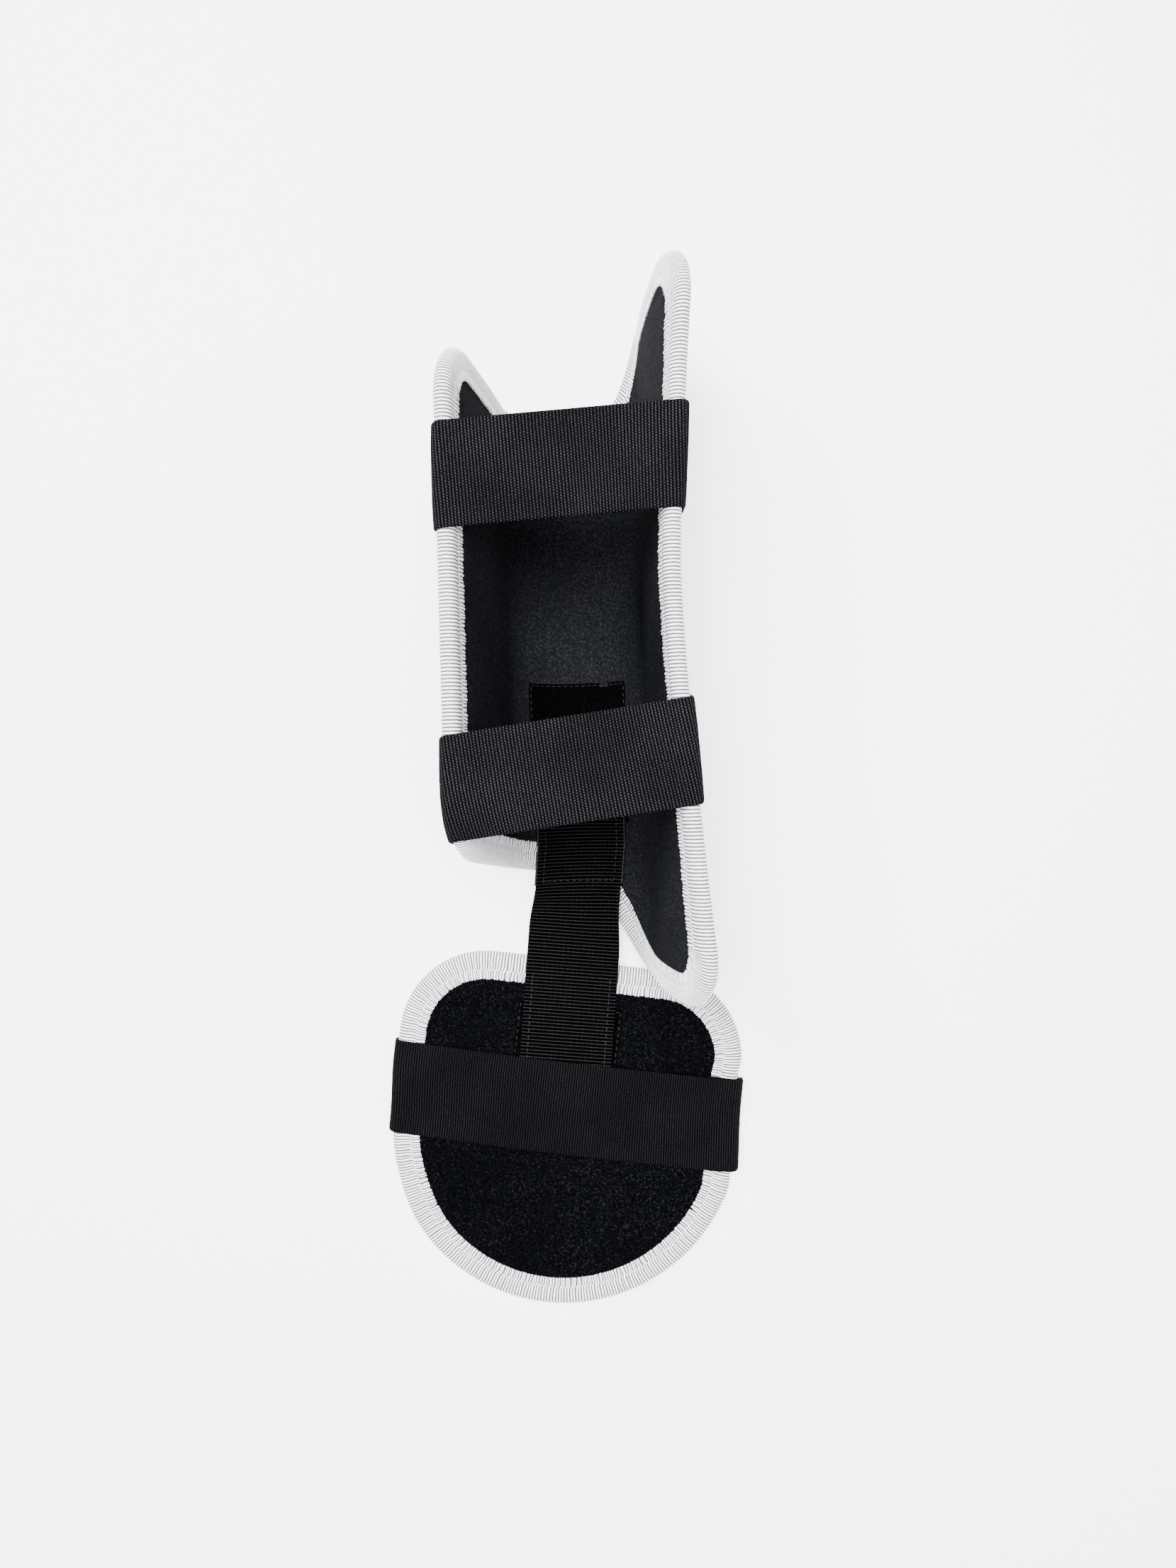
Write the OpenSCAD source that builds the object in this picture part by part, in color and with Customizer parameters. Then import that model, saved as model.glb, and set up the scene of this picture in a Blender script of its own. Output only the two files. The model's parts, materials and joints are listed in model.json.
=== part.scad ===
// Soft ankle foot orthosis, laid open on its back: a padded calf trough with two
// elastic straps, a foot pad with one, and the hook-and-loop webbing between them.
// Millimetres. The origin is under the middle of the foot pad, on the surface that
// the object lies on. +Y runs up the leg along the trough, and +Z is up.

/* [Calf trough] */
// Radius of the trough's floor at the middle of the panel
floor_r = 32; // [29:0.5:35]
// Height of both rims above the table
rim_h = 98.5; // [90:0.5:106]
// Outward lean of the left wall in degrees
left_lean = 11; // [9:1:13]
// Outward lean of the right wall in degrees
right_lean = 6; // [4:1:8]
// Sideways place of the trough's axis
cuff_x = 10.8; // [8:0.2:13]
// Thickness of the laminated panel
panel_t = 5.6; // [5:0.2:7]

/* [Trough outline] */
// Top edge at the floor
top_floor_y = 306.5; // [300:0.5:312]
// Top edge at the left rim, before its round corner
top_left_y = 315.5; // [310:0.5:320]
// Top edge at the right rim, before its round corner
top_right_y = 353.5; // [345:0.5:354]
// Bottom edge at the floor
bottom_floor_y = 112; // [108:0.5:114]
// Bottom edge at the left rim, before its round corner
bottom_left_y = 126; // [122:0.5:128]
// Bottom edge at the right rim
bottom_right_y = 67.5; // [67.5:0.5:80]
// Radius of the top left corner
top_left_r = 24; // [16:1:26]
// Radius of the top right corner
top_right_r = 27; // [20:1:30]
// Radius of the bottom left corner
bottom_left_r = 30; // [22:1:32]
// Radius of the bottom right corner
bottom_right_r = 23; // [16:1:26]

/* [Foot pad] */
// Half of the pad's width, and the radius of its round end
pad_r = 77; // [70:1:80]
// Radius of the two corners at the heel end
pad_corner_r = 38; // [30:1:42]
// Straight part of the sides
pad_side = 36; // [30:1:40]
// Turn of the pad against the trough in degrees
pad_turn = 8.1; // [6:0.1:9]

/* [Tapes and straps] */
// Width of the webbing and of the foot strap
tape_w = 40; // [38:1:42]
// Width of the stretched calf straps
strap_w = 38; // [36:1:40]
// Thickness of the elastic straps
strap_t = 1.4; // [1.2:0.1:1.6]
// Middle of the upper calf strap
upper_strap_y = 265; // [258:1:270]
// Middle of the lower calf strap
lower_strap_y = 156.5; // [152:0.5:162]
// Middle of the foot strap, up the pad
foot_strap_y = 11; // [6:1:14]
// Visible width of the edge binding
binding_w = 12; // [10:0.5:14]

/* [Hidden] */
$fn = 96;
eps = 0.01;
join = 0.05;                 // the trough's two halves overlap by this at the middle

// Layers of the panels, from the inner face to the outer one
binding_t = 0.5;             // tape over each face of the panel
lining_t = 1.2;
cover_t = 1.2;
insert_t = 1.2;              // stiffening sheet of the trough
insert_inset = 20;           // the sheet stops this far inside the edge
edge_gap = 2.2;              // the panel's own edge inside the folded tape
half_t = panel_t / 2;
fat = half_t + binding_t;    // half of the bound edge's thickness
mid_z = fat;                 // the middle of the trough's floor
axis_z = mid_z + floor_r;

// Hook and loop
loop_t = 1.2;
hook_t = 1.2;
rest_gap = 0.15;             // between hook and loop while they hold
air = 0.3;                   // between other pieces that move apart
patch_w = 48;                // both floor patches
webbing_t = 1.6;

// Shape of the trough's edges
top_steep = 9.4;             // how fast the top edge climbs to the right horn
top_climb = 0.25;            // share of the girth at which it climbs
top_slope = 15;              // and its slower rise along the whole right side
left_top_bend = 0.12;        // the left edge rises early and then runs level
bottom_steep = 7;            // how fast the bottom edge drops to the right horn
bottom_drop = 0.157;         // share of the girth at which it drops
edge_steps = 24;
corner_steps = 8;

// Calf straps
sewn_len = 45;               // strap sewn to the left wall
landing_top = 15;            // loop landing on the right wall, below the rim
landing_len = 60;
tail_len = 56;               // strap end over the landing
hook_top = 20;
hook_len = 35;
strap_stand = 1.55;          // how far the strap's end stands off the right rim

// Webbing between trough and pad, with its fold line between the two
fold_x = 6.4;
fold_y = 77;
web_turn = 5.7;              // turn of the webbing against the trough
web_end_y = 170;             // upper end inside the trough
web_straight_y = 125;        // above this the webbing follows the trough's axis
fold_gap = 1;                // room that the fold needs on either side
web_z = 10.65;               // middle of the flat webbing over the pad

// Foot pad levels
pad_lift = strap_t;          // the sewn strap end lies under the pad
pad_low = pad_lift + binding_t;
pad_top = pad_low + panel_t;
pad_mid = pad_low + half_t;

// ---- plane shapes ---------------------------------------------------------

// Points of an arc from one angle to another
function arc_points(x, z, r, from, to, n) =
  [for (i = [0 : n]) let (a = from + (to - from) * i / n) [x + r * cos(a), z + r * sin(a)]];

function unit(v) = v / norm(v);

// Normal of a path at one of its points, to the left of its run
function path_normal(p, i) =
  let (d = unit(p[min(i + 1, len(p) - 1)] - p[max(i - 1, 0)])) [-d[1], d[0]];

// A band of thickness t with its middle on a path
function band(p, t) = concat(
  [for (i = [0 : len(p) - 1]) p[i] + path_normal(p, i) * t / 2],
  [for (i = [len(p) - 1 : -1 : 0]) p[i] - path_normal(p, i) * t / 2]);

// Extrudes an X-Z shape along Y, between two values of Y
module along_y(y0, y1) {
  translate([0, y1, 0]) rotate([90, 0, 0]) linear_extrude(y1 - y0) children();
}

// ---- trough ---------------------------------------------------------------
// side is 1 on the right and -1 on the left. u is the girth from the middle of
// the floor towards the rim, and n is the distance outward from the mid-surface.

function lean(side) = side > 0 ? right_lean : left_lean;
function turn_u(side) = floor_r * (90 - lean(side)) * PI / 180;
function turn_z(side) = axis_z - floor_r * sin(lean(side));
function rim_u(side) = turn_u(side) + (rim_h - turn_z(side)) / cos(lean(side));
function height(side, u) = u < turn_u(side)
  ? axis_z - floor_r * cos(u / floor_r * 180 / PI)
  : turn_z(side) + (u - turn_u(side)) * cos(lean(side));

// Middle of the rounded rim
function rim_z() = rim_h - fat;
function rim_x(side) = side * (floor_r * cos(lean(side))
  + (rim_z() - turn_z(side)) * tan(lean(side)));

function tanh(v) = (exp(v) - exp(-v)) / (exp(v) + exp(-v));

// A soft step from 0 to 1 in the girth's share s
function step_at(s, steep, middle) = (1 + tanh(steep * (s - middle))) / 2;

function top_y(side, u) = let (s = u / rim_u(side)) side > 0
  ? top_floor_y + (top_right_y - top_floor_y - top_slope) * step_at(s, top_steep, top_climb)
      + top_slope * s
  : top_floor_y + (top_left_y - top_floor_y) * s * s * (1 + left_top_bend) / (s * s + left_top_bend);

function bottom_y(side, u) =
  let (s = side * u / rim_u(side), drop = step_at(s, bottom_steep, bottom_drop))
  bottom_floor_y + (bottom_left_y - bottom_floor_y) * max(-s, 0)
    + (bottom_right_y - bottom_floor_y) * drop;

function edge_y(side, u, top) = top ? top_y(side, u) : bottom_y(side, u);

// Length along the edge for one millimetre of girth
function edge_run(side, u, top) = norm([1, edge_y(side, u + 0.5, top) - edge_y(side, u - 0.5, top)]);

function corner_r(side, top) = side > 0
  ? (top ? top_right_r : bottom_right_r)
  : (top ? top_left_r : bottom_left_r);

// The edge moved d inward
function inset_y(side, u, d, top) =
  edge_y(side, max(u, 0), top) - (top ? 1 : -1) * d * edge_run(side, max(u, 0.5), top);

// One edge in the Y-Z plane, d inside the outline, from the floor to its round corner
function edge_points(side, d, top) =
  let (r = max(corner_r(side, top) - d, 2), sign = top ? 1 : -1, centre_u = rim_u(side) - d - r,
       centre_y = inset_y(side, centre_u, d, top) - sign * r * edge_run(side, centre_u, top),
       slope = edge_y(side, centre_u + 0.5, top) - edge_y(side, centre_u - 0.5, top),
       start = sign * 90 + atan(slope), end_u = centre_u + r * cos(start),
       body = [for (i = [0 : edge_steps - 1]) let (u = end_u * i / edge_steps) [u, inset_y(side, u, d, top)]],
       corner = [for (i = [0 : corner_steps]) let (a = start * (1 - i / corner_steps))
         [centre_u + r * cos(a), centre_y + r * sin(a)]])
  [for (p = concat(body, corner)) [p[1], height(side, p[0])]];

// Everything on one side that lies inside the outline, d from its edge
module outline(side, d) {
  upper = edge_points(side, d, true);
  lower = edge_points(side, d, false);
  below = -10;
  outer = concat([[upper[0][0], below]], upper, [for (i = [len(lower) - 1 : -1 : 0]) lower[i]],
    [[lower[0][0], below]]);
  mirror([side > 0 ? 0 : 1, 0, 0]) translate([-join, 0, 0])
    rotate([90, 0, 90]) linear_extrude(90) polygon(outer);
}

// Half of the trough's section between two distances from the mid-surface
module half_section(side, n0, n1) {
  wall = (rim_h - turn_z(side)) / cos(lean(side));
  reach = 2 * floor_r;
  mirror([side > 0 ? 0 : 1, 0, 0]) translate([0, axis_z]) {
    intersection() {
      difference() {
        circle(floor_r + n1);
        circle(floor_r + n0);
      }
      polygon([[-join, 0], [-join, -reach], [reach, -reach], [reach, -reach * tan(lean(side))], [0, 0]]);
    }
    rotate(-lean(side)) translate([floor_r + n0, -eps]) square([n1 - n0, wall + eps]);
  }
}

// A layer of the trough between n0 and n1, d inside the outline
module layer(n0, n1, d) {
  translate([cuff_x, 0, 0]) for (side = [-1, 1]) intersection() {
    along_y(60, 360) half_section(side, n0, n1);
    outline(side, d);
  }
}

// The bound edge's full thickness, with a round rim
module bound_layer() {
  translate([cuff_x, 0, 0]) for (side = [-1, 1]) intersection() {
    along_y(60, 360) difference() {
      union() {
        half_section(side, -fat, fat);
        translate([rim_x(side), rim_z()]) circle(fat);
      }
      // square corners of the wall beside the round rim
      translate([rim_x(side), rim_z()]) rotate(-side * lean(side)) difference() {
        translate([-2 * fat, 0]) square([4 * fat, 3 * fat]);
        circle(fat);
      }
    }
    outline(side, 0);
  }
}

module cuff_lining() { color([0.07, 0.07, 0.1]) layer(-half_t, lining_t - half_t, edge_gap); }

module cuff_cover() { color([0.09, 0.09, 0.11]) layer(half_t - cover_t, half_t, edge_gap); }

module cuff_insert() {
  color([0.85, 0.85, 0.8]) layer(half_t - cover_t - insert_t, half_t - cover_t, insert_inset);
}

module cuff_foam() {
  color([0.25, 0.25, 0.28]) difference() {
    layer(lining_t - half_t, half_t - cover_t, edge_gap);
    layer(half_t - cover_t - insert_t, half_t - cover_t, insert_inset);
  }
}

module cuff_binding() {
  color([0.93, 0.94, 0.95]) difference() {
    bound_layer();
    layer(-half_t, half_t, edge_gap);
    layer(-2 * fat, 2 * fat, binding_w);
  }
}

// A strip on the trough's floor between two distances from the mid-surface
module floor_strip(n0, n1, width, y0, y1) {
  half_angle = width / 2 / (floor_r + n1) * 180 / PI;
  reach = 2 * floor_r;
  translate([cuff_x, 0, axis_z]) along_y(y0, y1) intersection() {
    difference() {
      circle(floor_r + n1);
      circle(floor_r + n0);
    }
    polygon([[0, 0], [-reach * tan(half_angle), -reach], [reach * tan(half_angle), -reach]]);
  }
}

module cuff_loop_patch() {
  color([0.12, 0.12, 0.12]) floor_strip(-half_t - loop_t, -half_t, patch_w, 134, 196);
}

// ---- calf straps ----------------------------------------------------------
// Each is sewn to the left wall, folds over the left rim, crosses the trough and
// hooks to a loop landing on the right wall.

// A flat strip on the outside of a wall, from one distance below the rim to another
module wall_strip(side, n0, n1, from, to, width) {
  translate([cuff_x, 0, 0]) along_y(-width / 2, width / 2)
    translate([rim_x(side), rim_z()]) mirror([side > 0 ? 0 : 1, 0]) rotate(-lean(side))
      translate([n0, -to]) square([n1 - n0, to - from]);
}

module strap_sewn_end() {
  r = fat + strap_t / 2;
  side_angle = 180 + left_lean;
  foot = [rim_x(-1) + r * cos(side_angle) + sewn_len * sin(left_lean),
          rim_z() + r * sin(side_angle) - sewn_len * cos(left_lean)];
  path = concat([foot], arc_points(rim_x(-1), rim_z(), r, side_angle, 90, 16));
  translate([cuff_x, 0, 0]) along_y(-strap_w / 2, strap_w / 2) polygon(band(path, strap_t));
}

module strap_landing() {
  wall_strip(1, half_t, half_t + loop_t, landing_top, landing_top + landing_len, strap_w + 4);
}

// The moving strap: level span, fold over the right rim and tail
module strap_span() {
  r = fat + air + strap_t / 2;
  bend_x = rim_x(1) + strap_stand;
  end_angle = -right_lean;
  tail = [bend_x + r * cos(end_angle) - tail_len * sin(right_lean),
          rim_z() + r * sin(end_angle) - tail_len * cos(right_lean)];
  start = [rim_x(-1) + air, rim_z() + r];
  path = concat([start], arc_points(bend_x, rim_z(), r, 90, end_angle, 8), [tail]);
  translate([cuff_x, 0, 0]) along_y(-strap_w / 2, strap_w / 2) polygon(band(path, strap_t));
}

module strap_hook() {
  n1 = fat + air + strap_stand * cos(right_lean);
  wall_strip(1, half_t + loop_t + rest_gap, n1 - eps, hook_top, hook_top + hook_len, strap_w - 4);
}

module upper_strap_sewn_end() { color([0.13, 0.13, 0.14]) translate([0, upper_strap_y, 0]) strap_sewn_end(); }
module upper_strap_landing() { color([0.1, 0.1, 0.1]) translate([0, upper_strap_y, 0]) strap_landing(); }
module upper_strap() { color([0.15, 0.15, 0.16]) translate([0, upper_strap_y, 0]) strap_span(); }
module upper_strap_hook() { color([0.2, 0.2, 0.2]) translate([0, upper_strap_y, 0]) strap_hook(); }

module lower_strap_sewn_end() { color([0.13, 0.13, 0.14]) translate([0, lower_strap_y, 0]) strap_sewn_end(); }
module lower_strap_landing() { color([0.1, 0.1, 0.1]) translate([0, lower_strap_y, 0]) strap_landing(); }
module lower_strap() { color([0.15, 0.15, 0.16]) translate([0, lower_strap_y, 0]) strap_span(); }
module lower_strap_hook() { color([0.2, 0.2, 0.2]) translate([0, lower_strap_y, 0]) strap_hook(); }

// ---- webbing --------------------------------------------------------------

// Radius of the webbing's middle where it lies curled in the trough
web_r = floor_r - half_t - loop_t - rest_gap - hook_t - webbing_t / 2;
web_curled_y = 110;                              // fully curled above this
web_flat_y = 88;                                 // flat below this
web_right_lag = 0.55;                            // its right edge uncurls lower, clear of the horn
web_steps = [web_straight_y, 118, web_curled_y, 105, 100, 95, 91, web_flat_y, 82];
web_cells = 10;                                  // cells across its width

function smooth(v) = let (c = min(max(v, 0), 1)) c * c * (3 - 2 * c);
function curl(y, u) =
  smooth((y - web_flat_y + web_right_lag * max(u, 0)) / (web_curled_y - web_flat_y));
function web_middle(y) = cuff_x - max(web_straight_y - y, 0) * tan(web_turn);

// A point of the webbing: y along it, u across it, h above its middle
function web_point(y, u, h) =
  let (a = u / web_r * 180 / PI, w = curl(y, u),
       curled = [web_middle(y) + (web_r - h) * sin(a), y, axis_z - (web_r - h) * cos(a)],
       flat = [web_middle(y) + u * cos(web_turn), y - u * sin(web_turn), web_z + h])
  curled * w + flat * (1 - w);

// A closed sheet over the given places along the webbing, between two heights
module web_sheet(places, h0, h1) {
  across = [for (i = [0 : web_cells]) tape_w * (i / web_cells - 0.5)];
  row = web_cells + 1;
  count = len(places) * row;
  points = concat([for (y = places) for (u = across) web_point(y, u, h1)],
                  [for (y = places) for (u = across) web_point(y, u, h0)]);
  last = len(places) - 1;
  upper = [for (j = [0 : last - 1]) for (i = [0 : row - 2]) let (a = j * row + i)
    each [[a, a + row, a + 1], [a + 1, a + row, a + row + 1]]];
  lower = [for (f = upper) [f[2] + count, f[1] + count, f[0] + count]];
  ends = [for (i = [0 : row - 2]) each [
    [i, i + 1, i + count], [i + 1, i + 1 + count, i + count],
    [last * row + i + 1, last * row + i, last * row + i + 1 + count],
    [last * row + i, last * row + i + count, last * row + i + 1 + count]]];
  sides = [for (j = [0 : last - 1]) let (a = j * row, b = a + row, c = a + row - 1, d = b + row - 1)
    each [[b, a, a + count], [b, a + count, b + count], [c, d, c + count], [d, d + count, c + count]]];
  polyhedron(points, concat(upper, lower, ends, sides));
}

module connector_upper() {
  color([0.1, 0.1, 0.11])
    web_sheet(concat([web_end_y], web_steps, [fold_y + fold_gap]), -webbing_t / 2, webbing_t / 2);
}

module connector_upper_hook() {
  color([0.2, 0.2, 0.2])
    web_sheet([web_end_y, web_straight_y, 118, web_curled_y, 108], -webbing_t / 2 - hook_t, -webbing_t / 2);
}

// Flat strip of the lower webbing, measured down from the fold
module web_strip(z0, z1, from, to, width) {
  translate([fold_x, fold_y, z0]) rotate([0, 0, -web_turn])
    translate([-width / 2, -to, 0]) cube([width, to - from, z1 - z0]);
}

module connector_lower() {
  color([0.1, 0.1, 0.11]) web_strip(web_z - webbing_t / 2, web_z + webbing_t / 2, fold_gap, 76, tape_w);
}

module connector_lower_hook() {
  under = web_z - webbing_t / 2;
  color([0.2, 0.2, 0.2]) web_strip(under - 1, under, 9, 75, tape_w);
}

// ---- foot pad -------------------------------------------------------------

// The pad's outline, d inside its edge
module pad_shape(d) {
  side_x = pad_r - pad_corner_r;
  intersection() {
    circle(pad_r - d);
    translate([-pad_r, -pad_r]) square([2 * pad_r, pad_r]);
  }
  translate([d - pad_r, 0]) square([2 * (pad_r - d), pad_side]);
  for (x = [-side_x, side_x]) translate([x, pad_side]) circle(pad_corner_r - d);
  translate([-side_x, pad_side]) square([2 * side_x, pad_corner_r - d]);
}

module pad_slab(z0, z1, d) {
  rotate([0, 0, -pad_turn]) translate([0, 0, z0]) linear_extrude(z1 - z0) pad_shape(d);
}

plate_t = 1.6;               // stiffening plate of the pad
plate_z = pad_mid - plate_t / 2;

module pad_lining() { color([0.06, 0.06, 0.09]) pad_slab(pad_top - lining_t, pad_top, edge_gap); }
module pad_cover() { color([0.09, 0.09, 0.11]) pad_slab(pad_low, pad_low + cover_t, edge_gap); }
module pad_insert() { color([0.85, 0.85, 0.8]) pad_slab(plate_z, plate_z + plate_t, insert_inset); }

module pad_foam() {
  color([0.25, 0.25, 0.28]) difference() {
    pad_slab(pad_low + cover_t, pad_top - lining_t, edge_gap);
    pad_slab(plate_z, plate_z + plate_t, insert_inset);
  }
}

module pad_binding() {
  color([0.93, 0.94, 0.95]) difference() {
    pad_slab(pad_lift, pad_top + binding_t, 0);
    pad_slab(pad_low, pad_top, edge_gap);
    pad_slab(pad_lift - 1, pad_top + 1, binding_w);
  }
}

module pad_loop_patch() {
  color([0.12, 0.12, 0.12]) rotate([0, 0, -pad_turn])
    translate([-patch_w / 2, -12, pad_top]) cube([patch_w, 64, loop_t]);
}

// ---- foot strap -----------------------------------------------------------
// Sewn across the pad's underside, round its left edge, over its top, and hooked
// to a loop landing that folds round the right edge.

edge_x = pad_r - fat;        // the tapes on the pad's top end here
wrap_x = edge_x + 0.6;       // middle of the strap's turn round the right edge
sewn_in = 38;                // the strap is sewn under the pad up to here
strap_over_web = web_z + webbing_t / 2 + air + strap_t / 2;
landing_in = 46;             // inner end of the landing on the pad's top
span_right_z = pad_top + binding_t + loop_t + rest_gap + hook_t + strap_t / 2;

// Places an X-Z shape across the pad, at the foot strap
module across_pad(width) {
  rotate([0, 0, -pad_turn]) translate([0, foot_strap_y, 0]) along_y(-width / 2, width / 2) children();
}

// A tape round the pad's edge, between one X under the pad and another on top
module edge_tape(t, under_x, top_x) {
  low = pad_lift;
  high = pad_top + binding_t;
  polygon(concat([[under_x, low], [under_x, low - t]], arc_points(pad_r, low, t, -90, 0, 4),
    arc_points(pad_r, high, t, 0, 90, 4), [[top_x, high + t], [top_x, high], [pad_r, high], [pad_r, low]]));
}

module foot_strap_sewn_end() {
  color([0.13, 0.13, 0.14]) across_pad(tape_w) mirror([1, 0]) edge_tape(strap_t, -sewn_in, edge_x);
}

module foot_strap_landing() {
  color([0.1, 0.1, 0.1]) across_pad(tape_w) edge_tape(loop_t, sewn_in + 2, landing_in);
}

module foot_strap() {
  r = span_right_z - pad_mid;
  left_z = pad_mid + fat + air + strap_t / 2;
  path = concat([[air - edge_x, left_z], [8 - edge_x, left_z + 0.2], [-25, strap_over_web]],
    [[25, strap_over_web], [landing_in, span_right_z]],
    arc_points(wrap_x, pad_mid, r, 90, 0, 8));
  color([0.15, 0.15, 0.16]) across_pad(tape_w) polygon(band(path, strap_t));
}

module foot_strap_hook() {
  top = span_right_z - strap_t / 2;
  color([0.2, 0.2, 0.2]) across_pad(tape_w - 4)
    translate([landing_in + 3, top - hook_t]) square([edge_x - landing_in - 5, hook_t - eps]);
}

cuff_lining();
cuff_foam();
cuff_insert();
cuff_cover();
cuff_binding();
cuff_loop_patch();
upper_strap_sewn_end();
upper_strap_landing();
upper_strap();
upper_strap_hook();
lower_strap_sewn_end();
lower_strap_landing();
lower_strap();
lower_strap_hook();
connector_upper();
connector_upper_hook();
connector_lower();
connector_lower_hook();
pad_lining();
pad_foam();
pad_insert();
pad_cover();
pad_binding();
pad_loop_patch();
foot_strap_sewn_end();
foot_strap_landing();
foot_strap();
foot_strap_hook();
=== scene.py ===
"""Looks of the soft ankle foot orthosis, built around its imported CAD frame.

Lengths are millimetres until a mesh is made. The frame is the CAD's: origin under the middle of
the foot pad, +Y up the leg, +Z up. Both panels share one set of functions, and each is drawn on
a flat sheet (u across, y along, n outward from its middle) that place() then bends into shape.
"""

import json
import math

import bmesh
import bpy
import numpy as np
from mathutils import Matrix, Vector


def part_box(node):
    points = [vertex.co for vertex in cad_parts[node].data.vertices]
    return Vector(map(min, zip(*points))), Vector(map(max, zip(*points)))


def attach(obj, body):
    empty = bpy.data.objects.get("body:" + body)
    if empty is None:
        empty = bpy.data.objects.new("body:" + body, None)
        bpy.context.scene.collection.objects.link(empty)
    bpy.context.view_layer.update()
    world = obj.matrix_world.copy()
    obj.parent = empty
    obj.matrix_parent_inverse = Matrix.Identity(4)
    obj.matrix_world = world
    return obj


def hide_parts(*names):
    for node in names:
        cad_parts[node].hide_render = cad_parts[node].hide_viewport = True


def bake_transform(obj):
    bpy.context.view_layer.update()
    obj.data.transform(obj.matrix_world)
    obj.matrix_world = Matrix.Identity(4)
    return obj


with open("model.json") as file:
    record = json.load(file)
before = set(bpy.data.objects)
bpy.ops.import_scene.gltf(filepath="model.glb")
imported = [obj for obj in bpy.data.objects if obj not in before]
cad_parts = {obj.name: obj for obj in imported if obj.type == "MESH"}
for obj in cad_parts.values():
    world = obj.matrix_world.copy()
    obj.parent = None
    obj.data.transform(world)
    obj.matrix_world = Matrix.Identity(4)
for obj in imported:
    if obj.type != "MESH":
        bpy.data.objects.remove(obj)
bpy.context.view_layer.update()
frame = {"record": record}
MM = 0.001


def node_box(node):
    """Lowest and highest corner of a CAD node, in millimetres."""
    low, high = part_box(node)
    return np.array(low) / MM, np.array(high) / MM


def joint_place(name):
    """A hinge's place in the record, in millimetres."""
    joint = next(j for j in frame["record"]["behaviour"]["joints"] if j["name"] == name)
    return np.array(joint["pos_m"]) / MM


# ---- sizes that the CAD design is drawn from --------------------------------

HALF = 2.8              # half of the laminated panel
TAPE = 0.5              # binding tape over each face
FAT = HALF + TAPE
LAYER = 1.2             # lining, cover and stiffener
EDGE_GAP = 2.2          # the panel's own edge inside the folded tape
STIFF_INSET = 20
BINDING_W = 12
STRAP_T = 1.4
PILE_T = 1.2            # loop and hook tapes
REST_GAP = 0.15
HOOK_PITCH = 2.0
HOOK_RIB = 0.12

FLOOR_R = 32
AXIS_Z = FAT + FLOOR_R
CUFF_X = float(sum(b[0] for b in node_box("cuff_loop_patch")) / 2)
RIM_H = float(node_box("cuff_binding")[1][2])
LEAN = {1: math.radians(6), -1: math.radians(11)}
TOP_FLOOR_Y = 306.5
TOP_RIM_Y = {1: 353.5, -1: 315.5}
TOP_STEEP = 9.4
TOP_CLIMB = 0.25        # share of the girth at which the top edge climbs to the right horn
TOP_SLOPE = 15
LEFT_TOP_BEND = 0.12
BOTTOM_FLOOR_Y = 112
BOTTOM_RIM_Y = {1: 67.5, -1: 126}
BOTTOM_STEEP = 7
BOTTOM_DROP = 0.157     # share of the girth at which the bottom edge drops
TOP_CORNER_R = {1: 27, -1: 24}
BOTTOM_CORNER_R = {1: 23, -1: 30}

WAIST_Y = 227.5         # between the straps, where the right wall is drawn in most
DRAWN_IN = 2.85
DRAWN_IN_Z = 60         # above this height it is drawn in fully
SPRING_TOP = 5.6        # how much further out it stands towards its two ends
SPRING_BOTTOM = 5.3
SPRING_REACH = 89       # distance from the waist at which it has sprung that far
LEFT_STAND = 0.6        # the left rim stands out this far all along
FADE_X = 30             # both fade in over this distance from the trough's middle

PAD_R = 77
PAD_CORNER_R = 38
PAD_SIDE = 36
PAD_TURN = math.radians(8.1)
PAD_MID = STRAP_T + FAT
PAD_SINK = 1.0          # away from the strap sewn under it, the soft pad settles this far
PAD_EASE = {1: 2.8, -1: 1.6}    # its soft edges give way this far
PAD_PINCH = 1.1         # and this much more under the foot strap's turn
FOOT_STRAP_Y = 11
TAPE_W = 40
STRAP_W = 38
STRAP_STAND = 1.55
AIR = 0.3
SEWN_HALF = 15          # half the width of a strap's seams
SEWN_BOX = (4, 26)      # a sewn box's two ends, from the end of the strap


# ---- small mathematics ------------------------------------------------------


def smooth(v):
    """A soft step: 0 below 0, 1 above 1."""
    v = np.clip(v, 0, 1)
    return v * v * (3 - 2 * v)


def waves(v, seed, count=5):
    """A smooth wobble between about -1 and 1, along v in turns of its longest wave."""
    rng = np.random.default_rng(seed)
    total = np.zeros_like(v, dtype=float)
    for k in range(1, count + 1):
        total = total + np.sin(2 * math.pi * (k * v + rng.random())) * rng.uniform(0.4, 1) / math.sqrt(count)
    return total


def arc(x, z, r, start, end, steps=12):
    """Points of an arc between two angles in degrees."""
    a = np.radians(np.linspace(start, end, steps + 1))
    return np.stack([x + r * np.cos(a), z + r * np.sin(a)], 1)


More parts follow.
